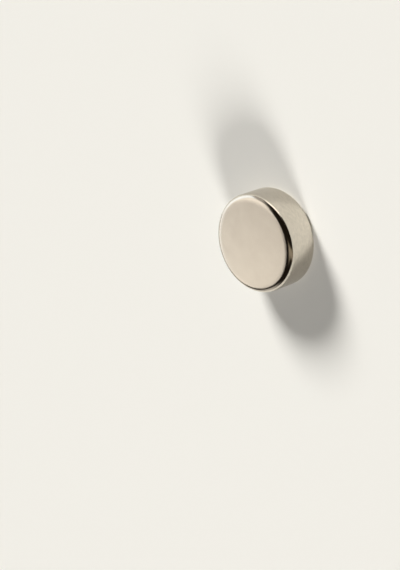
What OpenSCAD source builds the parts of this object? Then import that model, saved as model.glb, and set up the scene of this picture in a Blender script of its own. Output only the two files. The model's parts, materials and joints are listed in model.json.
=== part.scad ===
// Disc magnet: one sintered block, ground, tumbled and plated.
// It lies on a pole face at Z = 0, and +Z is its axis of magnetisation.
// All sizes are in millimetres.

/* [Disc] */
// Outside diameter of the rim
disc_d = 8; // [6:0.5:25]
// Thickness from one pole face to the other
disc_t = 3; // [2:0.5:10]

/* [Edges] */
// Radius that tumbling gives the edge between a pole face and the rim
edge_r = 0.45; // [0.2:0.05:0.8]
// Width of the ring in which the pole face starts to fall away towards the edge
rolloff_w = 0.25; // [0.1:0.05:0.5]
// Radius of that gentle fall, tangent to the pole face and to the edge
rolloff_r = 2.5; // [2:0.5:6]

/* [Hidden] */
$fn = 96;

// Radius of the disc, and of the part of each pole face that is truly flat
disc_r = disc_d / 2;
flat_r = disc_r - edge_r - rolloff_w;

// The edge arc touches the fall arc from inside, so their centres lie on one line
// with the point where they meet. The heights are measured from the pole face down.
centre_gap = rolloff_r - edge_r;
fall_centre_depth = rolloff_r;
edge_centre_depth = rolloff_r - sqrt(centre_gap * centre_gap - rolloff_w * rolloff_w);

// Where that line leaves the fall arc's circle, stretched to twice its radius
line_x = flat_r + 2 * rolloff_r * rolloff_w / centre_gap;
line_depth = fall_centre_depth - 2 * rolloff_r * (fall_centre_depth - edge_centre_depth) / centre_gap;

// Rounded corner of the half section, with the pole face at Y = 0 and the disc below it
module corner_section() {
    // Fall arc, from the flat of the pole face to the line through both centres
    intersection() {
        translate([flat_r, -fall_centre_depth])
            circle(r = rolloff_r);
        polygon([
            [flat_r, -edge_centre_depth],
            [flat_r, rolloff_r],
            [line_x, rolloff_r],
            [line_x, -line_depth],
            [disc_r - edge_r, -edge_centre_depth]
        ]);
    }
    // Edge arc, which ends square on the rim
    translate([disc_r - edge_r, -edge_centre_depth])
        circle(r = edge_r);
}

// Half section of the disc, from the axis to the rim
module half_section() {
    // Flat middle, from pole face to pole face
    square([flat_r, disc_t]);
    // Ground rim, between the two rounded corners
    translate([0, edge_centre_depth])
        square([disc_r, disc_t - 2 * edge_centre_depth]);
    translate([0, disc_t])
        corner_section();
    mirror([0, 1])
        corner_section();
}

module magnet() {
    color([0.83, 0.80, 0.74])
        rotate_extrude()
            half_section();
}

magnet();
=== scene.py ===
"""Nickel plated disc magnet, on a plain pale floor in soft studio light."""

import json
import math

import bpy
from bpy.props import FloatProperty, FloatVectorProperty, PointerProperty
from mathutils import Matrix, Vector


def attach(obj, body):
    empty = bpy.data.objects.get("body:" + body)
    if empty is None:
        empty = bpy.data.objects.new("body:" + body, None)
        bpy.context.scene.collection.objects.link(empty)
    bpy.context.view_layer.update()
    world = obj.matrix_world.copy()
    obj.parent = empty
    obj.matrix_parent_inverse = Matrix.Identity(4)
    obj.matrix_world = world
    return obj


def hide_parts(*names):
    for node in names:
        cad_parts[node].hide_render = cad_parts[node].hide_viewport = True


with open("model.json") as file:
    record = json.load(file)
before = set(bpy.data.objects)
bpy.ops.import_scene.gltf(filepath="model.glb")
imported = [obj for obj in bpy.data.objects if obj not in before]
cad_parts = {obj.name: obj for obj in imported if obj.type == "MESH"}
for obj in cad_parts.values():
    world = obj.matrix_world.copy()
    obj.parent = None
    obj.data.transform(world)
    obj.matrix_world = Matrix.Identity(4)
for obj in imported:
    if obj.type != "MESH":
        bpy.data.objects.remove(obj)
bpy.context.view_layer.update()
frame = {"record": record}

bl_info = {
    "name": "Disc magnet",
    "version": (1, 0, 0),
    "blender": (4, 5, 0),
    "location": "3D View > Sidebar > Magnet",
    "description": "Models a plated disc magnet and the small studio that it lies in",
    "category": "Object",
}

MM = 0.001


def mount(name):
    """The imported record's mount of that name."""
    return next(m for m in frame["record"]["mounts"] if m["name"] == name)


RIM_RADIUS = mount("rim")["dims"]["r_mm"] * MM
THICKNESS = mount("top_face")["pos_m"][2]


# ---------------------------------------------------------------- properties


class MagnetSizes(bpy.types.PropertyGroup):
    """Sizes of the disc"""

    radius: FloatProperty(
        name="Radius",
        description="Outside radius of the rim",
        default=RIM_RADIUS,
        unit="LENGTH",
    )
    thickness: FloatProperty(
        name="Thickness",
        description="Height from one pole face to the other",
        default=THICKNESS,
        unit="LENGTH",
    )
    edge_radius: FloatProperty(
        name="Edge radius",
        description="Radius that tumbling gives the edge between a pole face and the rim",
        default=0.45 * MM,
        unit="LENGTH",
    )
    fall_width: FloatProperty(
        name="Fall width",
        description="Width of the ring in which a pole face starts to fall away to its edge",
        default=0.25 * MM,
        unit="LENGTH",
    )
    fall_radius: FloatProperty(
        name="Fall radius",
        description="Radius of that gentle fall, tangent to the face and to the edge",
        default=2.5 * MM,
        unit="LENGTH",
    )


class MagnetFinish(bpy.types.PropertyGroup):
    """Colours and gloss of the plating"""

    nickel: FloatVectorProperty(
        name="Nickel",
        description="Colour of the bare plating",
        default=(0.66, 0.61, 0.53),
        subtype="COLOR",
        min=0.0,
        max=1.0,
    )
    face_roughness: FloatProperty(
        name="Face roughness",
        description="Roughness of the satin pole faces",
        default=0.24,
        subtype="FACTOR",
        min=0.0,
        max=1.0,
    )
    edge_roughness: FloatProperty(
        name="Edge roughness",
        description="Roughness of the tumbled edges",
        default=0.13,
        subtype="FACTOR",
        min=0.0,
        max=1.0,
    )
    rim_roughness: FloatProperty(
        name="Rim roughness",
        description="Roughness of the ground rim",
        default=0.27,
        subtype="FACTOR",
        min=0.0,
        max=1.0,
    )


class MagnetStage(bpy.types.PropertyGroup):
    """The floor, the light and the camera"""

    pale: FloatVectorProperty(
        name="Pale",
        description="Colour of the floor and of the backdrop",
        default=(0.86, 0.84, 0.78),
        subtype="COLOR",
        min=0.0,
        max=1.0,
    )
    floor_size: FloatProperty(
        name="Floor size",
        description="Side of the square floor",
        default=4.0,
        unit="LENGTH",
    )
    camera_distance: FloatProperty(
        name="Camera distance",
        description="Distance from the camera to the middle of the disc",
        default=142.2 * MM,
        unit="LENGTH",
    )
    camera_elevation: FloatProperty(
        name="Camera elevation",
        description="How far the camera stands above the plane of the pole faces",
        default=math.radians(44.4),
        subtype="ANGLE",
    )
    camera_roll: FloatProperty(
        name="Camera roll",
        description="Turn of the camera about its own axis, which shows the disc on its rim",
        default=math.radians(109.5),
        subtype="ANGLE",
    )
    camera_lens: FloatProperty(
        name="Lens",
        description="Focal length in millimetres, on a 36 mm sensor",
        default=113.7,
    )
    disc_right: FloatProperty(
        name="Disc right",
        description="How far the disc stands to the right of the middle of the picture",
        default=5.17 * MM,
        unit="LENGTH",
    )
    disc_up: FloatProperty(
        name="Disc up",
        description="How far the disc stands above the middle of the picture",
        default=3.57 * MM,
        unit="LENGTH",
    )


# ---------------------------------------------------------------- node helpers


def add_node(tree, kind, label=None, **settings):
    """Adds a node and sets its own settings."""
    node = tree.nodes.new(kind)
    if label:
        node.label = label
    for key, value in settings.items():
        setattr(node, key, value)
    return node


def feed(tree, socket, value):
    """Links an output to an input, or sets the input when the value is plain."""
    if isinstance(value, bpy.types.NodeSocket):
        tree.links.new(value, socket)
    else:
        socket.default_value = value


def math_node(tree, operation, *values):
    """A Math node with its inputs fed in order."""
    node = add_node(tree, "ShaderNodeMath", operation=operation)
    for socket, value in zip(node.inputs, values):
        feed(tree, socket, value)
    return node.outputs[0]


def smooth_step(tree, value, start, end):
    """0 where the value is at start, 1 at end, and a smooth slope between."""
    node = add_node(tree, "ShaderNodeMapRange", interpolation_type="SMOOTHSTEP")
    feed(tree, node.inputs["Value"], value)
    feed(tree, node.inputs["From Min"], start)
    feed(tree, node.inputs["From Max"], end)
    return node.outputs[0]


def blend_values(tree, factor, low, high):
    """low where the factor is 0 and high where it is 1."""
    node = add_node(tree, "ShaderNodeMapRange", interpolation_type="LINEAR")
    feed(tree, node.inputs["Value"], factor)
    feed(tree, node.inputs["To Min"], low)
    feed(tree, node.inputs["To Max"], high)
    return node.outputs[0]


def new_group(name, inputs, outputs):
    """A shader node group of plain values: inputs as (name, default), and outputs by name."""
    tree = bpy.data.node_groups.new(name, "ShaderNodeTree")
    for label, default in inputs:
        socket = tree.interface.new_socket(label, in_out="INPUT", socket_type="NodeSocketFloat")
        socket.default_value = default
    for label in outputs:
        tree.interface.new_socket(label, in_out="OUTPUT", socket_type="NodeSocketFloat")
    source = add_node(tree, "NodeGroupInput")
    result = add_node(tree, "NodeGroupOutput")
    return tree, source.outputs, result.inputs


def place_group(tree, name, **values):
    """Places a node group in a material, with its inputs set or fed."""
    node = add_node(tree, "ShaderNodeGroup", label=name, node_tree=bpy.data.node_groups[name])
    for key, value in values.items():
        feed(tree, node.inputs[key.replace("_", " ")], value)
    return node.outputs


def object_millimetres(tree):
    """Object coordinates in millimetres, as X, Y and Z outputs and as a vector."""
    place = add_node(tree, "ShaderNodeTexCoord").outputs["Object"]
    scale = add_node(tree, "ShaderNodeVectorMath", operation="SCALE")
    feed(tree, scale.inputs[0], place)
    feed(tree, scale.inputs["Scale"], 1.0 / MM)
    parts = add_node(tree, "ShaderNodeSeparateXYZ")
    feed(tree, parts.inputs[0], scale.outputs[0])
    return parts.outputs, scale.outputs[0]


def stretched_noise(tree, place, scale, detail, roughness):
    """Noise at place, with a count per millimetre along each axis. It runs from 0 to 1."""
    stretch = add_node(tree, "ShaderNodeVectorMath", operation="MULTIPLY")
    feed(tree, stretch.inputs[0], place)
    feed(tree, stretch.inputs[1], scale)
    noise = add_node(tree, "ShaderNodeTexNoise", noise_dimensions="3D")
    feed(tree, noise.inputs["Vector"], stretch.outputs[0])
    noise.inputs["Scale"].default_value = 1.0
    noise.inputs["Detail"].default_value = detail
    noise.inputs["Roughness"].default_value = roughness
    return noise.outputs["Fac"]


# ---------------------------------------------------------------- node groups


def make_zones_group(sizes):
    """Masks of the disc's own zones, in millimetres from its axis and from its nearer pole face."""
    rim_radius, edge = sizes.radius / MM, sizes.edge_radius / MM
    fall, width = sizes.fall_radius / MM, sizes.fall_width / MM
    flat_radius = rim_radius - edge - width
    edge_start = (flat_radius + rim_radius) / 2
    edge_depth = fall - math.sqrt((fall - edge) ** 2 - width**2)
    tree, given, result = new_group(
        "Disc zones",
        [("Flat radius", flat_radius), ("Edge start", edge_start), ("Edge depth", edge_depth)],
        ["Face", "Rim"],
    )
    parts, _ = object_millimetres(tree)
    squares = [math_node(tree, "MULTIPLY", parts[i], parts[i]) for i in (0, 1)]
    radius = math_node(tree, "SQRT", math_node(tree, "ADD", *squares))
    face = smooth_step(tree, radius, given["Edge start"], given["Flat radius"])
    half = sizes.thickness / MM / 2
    off_middle = math_node(tree, "ABSOLUTE", math_node(tree, "SUBTRACT", parts[2], half))
    depth = math_node(tree, "SUBTRACT", half, off_middle)
    rim_start = math_node(tree, "MULTIPLY", given["Edge depth"], 0.35)
    rim = smooth_step(tree, depth, rim_start, given["Edge depth"])
    feed(tree, result["Face"], face)
    feed(tree, result["Rim"], rim)


def make_plating_group():
    """The plating's own unevenness: slow clouds in its tone, and a fine satin grain."""
    tree, given, result = new_group(
        "Plating tone",
        [("Cloud contrast", 0.1)],
        ["Tone", "Grain"],
    )
    _, place = object_millimetres(tree)
    cloud = stretched_noise(tree, place, (0.9, 0.9, 0.9), 4.0, 0.55)
    fleck = stretched_noise(tree, place, (7.0, 7.0, 7.0), 3.0, 0.6)
    mixed = blend_values(tree, 0.35, cloud, fleck)
    middle = math_node(tree, "SUBTRACT", mixed, 0.5)
    tone = math_node(tree, "MULTIPLY", middle, given["Cloud contrast"])
    grain = stretched_noise(tree, place, (16.0, 16.0, 16.0), 3.0, 0.6)
    feed(tree, result["Tone"], tone)
    feed(tree, result["Grain"], grain)


def make_grinding_group():
    """Lines that the grinding wheel leaves round the rim: fine grooves, and dull and bright streaks."""
    tree, given, result = new_group(
        "Grinding lines",
        [("Lines", 14.0), ("Length", 0.35), ("Streak contrast", 0.3)],
        ["Height", "Tone"],
    )
    _, place = object_millimetres(tree)
    scale = add_node(tree, "ShaderNodeCombineXYZ")
    feed(tree, scale.inputs[0], given["Length"])
    feed(tree, scale.inputs[1], given["Length"])
    feed(tree, scale.inputs[2], given["Lines"])
    lines = stretched_noise(tree, place, scale.outputs[0], 3.0, 0.6)
    streaks = stretched_noise(tree, place, (3.0, 3.0, 6.5), 3.0, 0.65)
    middle = math_node(tree, "SUBTRACT", streaks, 0.5)
    feed(tree, result["Height"], lines)
    feed(tree, result["Tone"], math_node(tree, "MULTIPLY", middle, given["Streak contrast"]))


# ---------------------------------------------------------------- materials


def new_material(name):
    """An empty node material, with its output."""
    material = bpy.data.materials.new(name)
    material.use_nodes = True
    tree = material.node_tree
    tree.nodes.clear()
    return material, tree, add_node(tree, "ShaderNodeOutputMaterial")


def plated_colour(tree, nickel, tone):
    """The nickel's colour, lighter or darker by the tone."""
    light = math_node(tree, "ADD", 1.0, tone)
    scale = add_node(tree, "ShaderNodeVectorMath", operation="SCALE")
    feed(tree, scale.inputs[0], tuple(nickel))
    feed(tree, scale.inputs["Scale"], light)
    return scale.outputs[0]


def metal(tree, output):
    """A metal shader on the output."""
    shader = add_node(tree, "ShaderNodeBsdfPrincipled")
    shader.inputs["Metallic"].default_value = 1.0
    tree.links.new(shader.outputs[0], output.inputs["Surface"])
    return shader


def mix_shaders(tree, factor, low, high, output):
    """Puts one shader on the output where the factor is 0, and another where it is 1."""
    mix = add_node(tree, "ShaderNodeMixShader")
    feed(tree, mix.inputs["Fac"], factor)
    tree.links.new(low.outputs[0], mix.inputs[1])
    tree.links.new(high.outputs[0], mix.inputs[2])
    tree.links.new(mix.outputs[0], output.inputs["Surface"])


def bump(tree, height, strength, distance):
    """A Bump node's normal. The distance is in metres."""
    node = add_node(tree, "ShaderNodeBump")
    node.inputs["Strength"].default_value = strength
    node.inputs["Distance"].default_value = distance
    feed(tree, node.inputs["Height"], height)
    return node.outputs["Normal"]


def face_material(finish):
    """Satin pole face, which gets smoother over the tumbled edge."""
    material, tree, output = new_material("nickel_pole_face")
    shader = metal(tree, output)
    zones = place_group(tree, "Disc zones")
    plating = place_group(tree, "Plating tone", Cloud_contrast=0.22)
    feed(tree, shader.inputs["Base Color"], plated_colour(tree, finish.nickel, plating["Tone"]))
    rough = blend_values(tree, zones["Face"], finish.edge_roughness, finish.face_roughness)
    rough = math_node(tree, "ADD", rough, math_node(tree, "MULTIPLY", plating["Tone"], 0.3))
    feed(tree, shader.inputs["Roughness"], rough)
    feed(tree, shader.inputs["Normal"], bump(tree, plating["Grain"], 0.25, 0.014 * MM))
    return material


def rim_material(finish):
    """Ground rim: grinding lines round it, whose light spreads along the disc's axis."""
    material, tree, output = new_material("nickel_ground_rim")
    shader = metal(tree, output)
    shader.inputs["Anisotropic"].default_value = 0.85
    tangent = add_node(tree, "ShaderNodeTangent", direction_type="RADIAL", axis="Z")
    tree.links.new(tangent.outputs[0], shader.inputs["Tangent"])
    zones = place_group(tree, "Disc zones")
    plating = place_group(tree, "Plating tone", Cloud_contrast=0.20)
    lines = place_group(tree, "Grinding lines", Streak_contrast=0.5)
    streaks = math_node(tree, "MULTIPLY", lines["Tone"], zones["Rim"])
    tone = math_node(tree, "ADD", plating["Tone"], streaks)
    feed(tree, shader.inputs["Base Color"], plated_colour(tree, finish.nickel, tone))
    rough = blend_values(tree, zones["Rim"], finish.edge_roughness, finish.rim_roughness)
    feed(tree, shader.inputs["Roughness"], rough)
    feed(tree, shader.inputs["Normal"], bump(tree, lines["Height"], 0.22, 0.010 * MM))
    return material


# ---------------------------------------------------------------- mesh helpers


def deselect_all():
    """Leaves no object selected."""
    for item in bpy.context.selected_objects:
        item.select_set(False)


def edit(piece):
    """Enters edit mode on one object alone."""
    deselect_all()
    piece.select_set(True)
    bpy.context.view_layer.objects.active = piece
    bpy.ops.object.mode_set(mode="EDIT")


def select_where(kind, test):
    """Selects the faces or edges of the edited mesh that pass a test, and nothing else."""
    bpy.ops.mesh.select_all(action="DESELECT")
    bpy.ops.mesh.select_mode(type=kind)
    bpy.ops.object.mode_set(mode="OBJECT")
    mesh = bpy.context.active_object.data
    items = mesh.polygons if kind == "FACE" else mesh.edges
    count = 0
    for item in items:
        item.select = test(mesh, item)
        count += item.select
    bpy.ops.object.mode_set(mode="EDIT")
    if not count:
        raise RuntimeError("nothing was selected")


def on_ring(radius, height, slack=0.001):
    """A test for the edges of one ring about Z, at that radius and height."""

    def test(mesh, edge):
        ends = [mesh.vertices[i].co for i in edge.vertices]
        return all(
            abs(math.hypot(end.x, end.y) - radius) < slack and abs(end.z - height) < slack
            for end in ends
        )

    return test


def cap(side):
    """A test for the many-sided flat middle of the upper (1) or lower (-1) pole face."""
    return lambda mesh, face: len(face.vertices) > 4 and face.normal.z * side > 0.999


def direction(azimuth, elevation):
    """The unit vector that points that way from the disc, in degrees."""
    turn, rise = math.radians(azimuth), math.radians(elevation)
    return Vector((math.cos(turn) * math.cos(rise), math.sin(turn) * math.cos(rise), math.sin(rise)))


# ---------------------------------------------------------------- operators


class MAGNET_OT_disc(bpy.types.Operator):
    """Models the plated disc in place of its plain node"""

    bl_idname = "magnet.disc"
    bl_label = "Disc"

    segments = 256
    fall_segments = 6
    edge_segments = 16
    # Margin inside the flat of each face and gap under which points merge, in millimetres
    centre_margin = 0.05
    merge_gap = 0.0005
    # Faces of the mesh this close to upright take the rim's finish
    upright_within = math.radians(35)

    def execute(self, context):
        sizes = context.scene.magnet_sizes
        disc = self.turned_block(sizes)
        self.round_edges(disc, sizes)
        self.finish_mesh(disc)
        self.dress(disc, context.scene.magnet_finish)
        return {"FINISHED"}

    def turned_block(self, sizes):
        """A sharp-edged block. It is modelled in millimetres, with its lower face at Z = 0."""
        deselect_all()
        bpy.ops.mesh.primitive_cylinder_add(
            vertices=self.segments,
            radius=sizes.radius / MM,
            depth=sizes.thickness / MM,
            end_fill_type="NGON",
            location=(0.0, 0.0, 0.0),
        )
        disc = bpy.context.active_object
        disc.name = disc.data.name = "plated_disc"
        edit(disc)
        bpy.ops.mesh.select_all(action="SELECT")
        bpy.ops.transform.translate(value=(0.0, 0.0, sizes.thickness / MM / 2))
        return disc

    def round_edges(self, disc, sizes):
        """Cuts a slope between each face and the rim, then rounds both its corners into arcs."""
        radius, thickness = sizes.radius / MM, sizes.thickness / MM
        edge, fall = sizes.edge_radius / MM, sizes.fall_radius / MM
        width = sizes.fall_width / MM
        slope = math.asin(width / (fall - edge))
        fall_reach = fall * math.tan(slope / 2)
        edge_reach = edge * math.tan((math.pi / 2 - slope) / 2)
        ring = radius - edge - width + fall_reach
        drop = (radius - ring) * math.tan(slope)
        for top in (1, -1):
            face_z = thickness if top > 0 else 0.0
            select_where("FACE", cap(top))
            bpy.ops.mesh.inset(thickness=radius - ring)
            select_where("EDGE", on_ring(radius, face_z))
            bpy.ops.transform.translate(value=(0.0, 0.0, -top * drop))
            for place, height, reach, count in (
                (ring, face_z, fall_reach, self.fall_segments),
                (radius, face_z - top * drop, edge_reach, self.edge_segments),
            ):
                select_where("EDGE", on_ring(place, height))
                bpy.ops.mesh.bevel(
                    offset_type="OFFSET",
                    offset=reach,
                    segments=count,
                    profile=0.5,
                    clamp_overlap=False,
                )
            select_where("FACE", cap(top))
            bpy.ops.mesh.inset(thickness=self.centre_margin)
            select_where("FACE", cap(top))
            bpy.ops.mesh.poke()
        bpy.ops.mesh.select_all(action="SELECT")
        bpy.ops.mesh.remove_doubles(threshold=self.merge_gap)
        bpy.ops.mesh.normals_make_consistent(inside=False)
        bpy.ops.object.mode_set(mode="OBJECT")

    def finish_mesh(self, disc):
        """Brings the disc to metres, at the origin, with smooth shading."""
        disc.scale = (MM, MM, MM)
        bpy.ops.object.transform_apply(location=True, rotation=True, scale=True)
        bpy.ops.object.shade_smooth()

    def dress(self, disc, finish):
        """Gives the rim and the faces their own finishes, and ties the disc to its node."""
        disc.data.materials.append(face_material(finish))
        disc.data.materials.append(rim_material(finish))
        for face in disc.data.polygons:
            upright = abs(face.normal.z) < math.sin(self.upright_within)
            face.material_index = 1 if upright else 0
        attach(disc, "root")
        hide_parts("magnet")


class MAGNET_OT_stage(bpy.types.Operator):
    """Adds the pale floor, the soft panels and the camera"""

    bl_idname = "magnet.stage"
    bl_label = "Stage"

    cool = (0.90, 0.95, 1.00)
    white = (1.00, 1.00, 1.00)
    cream = (1.00, 0.94, 0.87)
    tan = (1.00, 0.85, 0.65)
    # Each panel: name, azimuth and elevation, width and height in degrees, distance in metres,
    # fade from its left border, its right border and its ends, strength, colour
    panels = (
        ("key", 46, 21, 66, 42, 0.4, (0.5, 0.4, 0.4), 1.6, cool),
        ("key_high", 46, 50, 64, 38, 0.4, (0.5, 0.7, 0.5), 1.3, cream),
        ("face", 86, 41, 38, 36, 0.04, (0.3, 1.7, 0.4), 1.3, cream),
        ("edge", 80, 31, 40, 20, 0.036, (0.9, 0.4, 0.5), 1.4, white),
        ("side", 3, 14, 30, 70, 0.4, (0.5, 0.5, 0.5), 0.5, cream),
        ("warm", 326, 6, 46, 28, 0.4, (0.4, 0.4, 0.5), 2.2, cream),
        ("grey", 228, 30, 22, 76, 0.018, (0.5, 0.5, 0.2), 0.35, tan),
        ("high", 204, 60, 26, 30, 0.4, (0.5, 0.5, 0.5), 0.25, tan),
        ("left", 136, 24, 44, 32, 0.04, (0.9, 0.9, 0.8), 0.6, cream),
    )
    # Each lamp: name, azimuth and elevation, width across its disc in degrees,
    # and the share of the floor's light that it gives
    lamps = (
        ("main", 3, 24, 18, 0.65),
        ("second", 182, 20, 18, 0.35),
    )

    room_colour = (1.0, 0.70, 0.45)
    room_strength = 0.012

    def execute(self, context):
        stage = context.scene.magnet_stage
        context.scene.view_settings.view_transform = "Standard"
        self.world(context, stage)
        self.floor(stage)
        for panel in self.panels:
            self.panel(*panel)
        for lamp in self.lamps:
            self.lamp(*lamp)
        self.camera(context, stage)
        return {"FINISHED"}

    def world(self, context, stage):
        """A pale backdrop behind and beside the disc, and a dim warm room over and before it."""
        world = bpy.data.worlds.new("studio")
        context.scene.world = world
        world.use_nodes = True
        tree = world.node_tree
        tree.nodes.clear()
        way = add_node(tree, "ShaderNodeSeparateXYZ")
        feed(tree, way.inputs[0], add_node(tree, "ShaderNodeTexCoord").outputs["Generated"])
        low = smooth_step(tree, way.outputs[2], 0.22, 0.13)
        behind = smooth_step(tree, way.outputs[1], -0.45, -0.2)
        room = add_node(tree, "ShaderNodeBackground", label="room")
        room.inputs["Color"].default_value = (*self.room_colour, 1.0)
        room.inputs["Strength"].default_value = self.room_strength
        pale = add_node(tree, "ShaderNodeBackground", label="backdrop")
        pale.inputs["Color"].default_value = (*stage.pale, 1.0)
        output = add_node(tree, "ShaderNodeOutputWorld")
        mix_shaders(tree, math_node(tree, "MULTIPLY", low, behind), room, pale, output)

    def floor(self, stage):
        """A plain pale floor that keeps the disc's shadows, and that the plating mirrors as it is."""
        deselect_all()
        bpy.ops.mesh.primitive_plane_add(size=stage.floor_size)
        floor = bpy.context.active_object
        floor.name = "floor"
        material, tree, output = new_material("pale_floor")
        matt = add_node(tree, "ShaderNodeBsdfDiffuse")
        matt.inputs["Color"].default_value = (*stage.pale, 1.0)
        tree.links.new(matt.outputs[0], output.inputs["Surface"])
        floor.data.materials.append(material)

    def panel(self, name, azimuth, elevation, width, height, distance, fades, strength, colour):
        """A soft panel that faces the disc, brightest in the middle, and seen in reflections alone."""
        out = direction(azimuth, elevation)
        deselect_all()
        bpy.ops.mesh.primitive_plane_add(size=2.0)
        panel = bpy.context.active_object
        panel.name = name + "_panel"
        wide = distance * math.tan(math.radians(width / 2))
        high = distance * math.tan(math.radians(height / 2))
        facing_disc = (-out).to_track_quat("Z", "Y").to_matrix().to_4x4()
        size = Matrix.Diagonal((wide, high, 1.0, 1.0))
        panel.matrix_world = Matrix.Translation(out * distance) @ facing_disc @ size
        panel.visible_camera = False
        panel.visible_diffuse = False
        panel.visible_shadow = False
        material, tree, output = new_material(name + "_light")
        glow = add_node(tree, "ShaderNodeEmission")
        glow.inputs["Color"].default_value = (*colour, 1.0)
        place = add_node(tree, "ShaderNodeTexCoord").outputs["Object"]
        parts = add_node(tree, "ShaderNodeSeparateXYZ")
        feed(tree, parts.inputs[0], place)
        left, right, ends = fades
        along = math_node(tree, "ABSOLUTE", parts.outputs[1])
        soft = math_node(
            tree,
            "MULTIPLY",
            smooth_step(tree, parts.outputs[0], -1.0, left - 1.0),
            smooth_step(tree, parts.outputs[0], 1.0, 1.0 - right),
        )
        soft = math_node(tree, "MULTIPLY", soft, smooth_step(tree, along, 1.0, 1.0 - ends))
        glow.inputs["Strength"].default_value = strength
        clear = add_node(tree, "ShaderNodeBsdfTransparent")
        mix_shaders(tree, soft, clear, glow, output)
        panel.data.materials.append(material)

    def lamp(self, name, azimuth, elevation, spread, share):
        """A soft distant lamp that lights the floor alone.

        Shares that add up to 1 show the floor in its own colour.
        """
        rise = math.radians(elevation)
        data = bpy.data.lights.new(name + "_lamp", "SUN")
        data.angle = math.radians(spread)
        data.energy = share * math.pi / math.sin(rise)
        lamp = bpy.data.objects.new(name + "_lamp", data)
        lamp.location = direction(azimuth, elevation)
        lamp.rotation_mode = "QUATERNION"
        lamp.rotation_quaternion = lamp.location.to_track_quat("Z", "Y")
        lamp.visible_glossy = False
        lamp.visible_camera = False
        bpy.context.scene.collection.objects.link(lamp)

    def camera(self, context, stage):
        """A long lens that looks down on the disc, rolled so that the disc stands on its rim."""
        data = bpy.data.cameras.new("camera")
        data.sensor_width = 36.0
        data.lens = stage.camera_lens
        camera = bpy.data.objects.new("camera", data)
        context.scene.collection.objects.link(camera)
        context.scene.camera = camera
        rise = stage.camera_elevation
        away = stage.camera_distance
        middle = Vector((0.0, 0.0, context.scene.magnet_sizes.thickness / 2))
        back = Vector((0.0, -math.cos(rise), math.sin(rise)))
        pitch = Matrix.Rotation(math.pi / 2 - rise, 3, "X")
        roll = Matrix.Rotation(-stage.camera_roll, 3, "Z")
        to_disc = Vector((stage.disc_right, stage.disc_up, -away))
        aim = to_disc.rotation_difference(Vector((0.0, 0.0, -1.0))).to_matrix()
        turn = (pitch @ roll @ aim).to_4x4()
        camera.matrix_world = Matrix.Translation(middle + back * away) @ turn


class MAGNET_PT_panel(bpy.types.Panel):
    """Lists the steps that make the magnet and its stage"""

    bl_idname = "MAGNET_PT_panel"
    bl_label = "Disc magnet"
    bl_space_type = "VIEW_3D"
    bl_region_type = "UI"
    bl_category = "Magnet"

    def draw(self, context):
        for group in (
            context.scene.magnet_sizes,
            context.scene.magnet_finish,
            context.scene.magnet_stage,
        ):
            box = self.layout.box()
            for key in group.__annotations__:
                box.prop(group, key)
        for step in STEPS:
            self.layout.operator(step.bl_idname)


STEPS = (MAGNET_OT_disc, MAGNET_OT_stage)
GROUPS = {
    "magnet_sizes": MagnetSizes,
    "magnet_finish": MagnetFinish,
    "magnet_stage": MagnetStage,
}


def register():
    """Registers the classes and hangs the properties on the scene."""
    for item in (*GROUPS.values(), *STEPS, MAGNET_PT_panel):
        bpy.utils.register_class(item)
    for key, group in GROUPS.items():
        setattr(bpy.types.Scene, key, PointerProperty(type=group))


def unregister():
    """Takes back what register did."""
    for key in GROUPS:
        delattr(bpy.types.Scene, key)
    for item in (MAGNET_PT_panel, *reversed(STEPS), *reversed(GROUPS.values())):
        bpy.utils.unregister_class(item)


def main():
    """Makes the node groups, then runs each step in order."""
    register()
    make_zones_group(bpy.context.scene.magnet_sizes)
    make_plating_group()
    make_grinding_group()
    bpy.ops.magnet.disc()
    bpy.ops.magnet.stage()


if __name__ == "__main__":
    main()
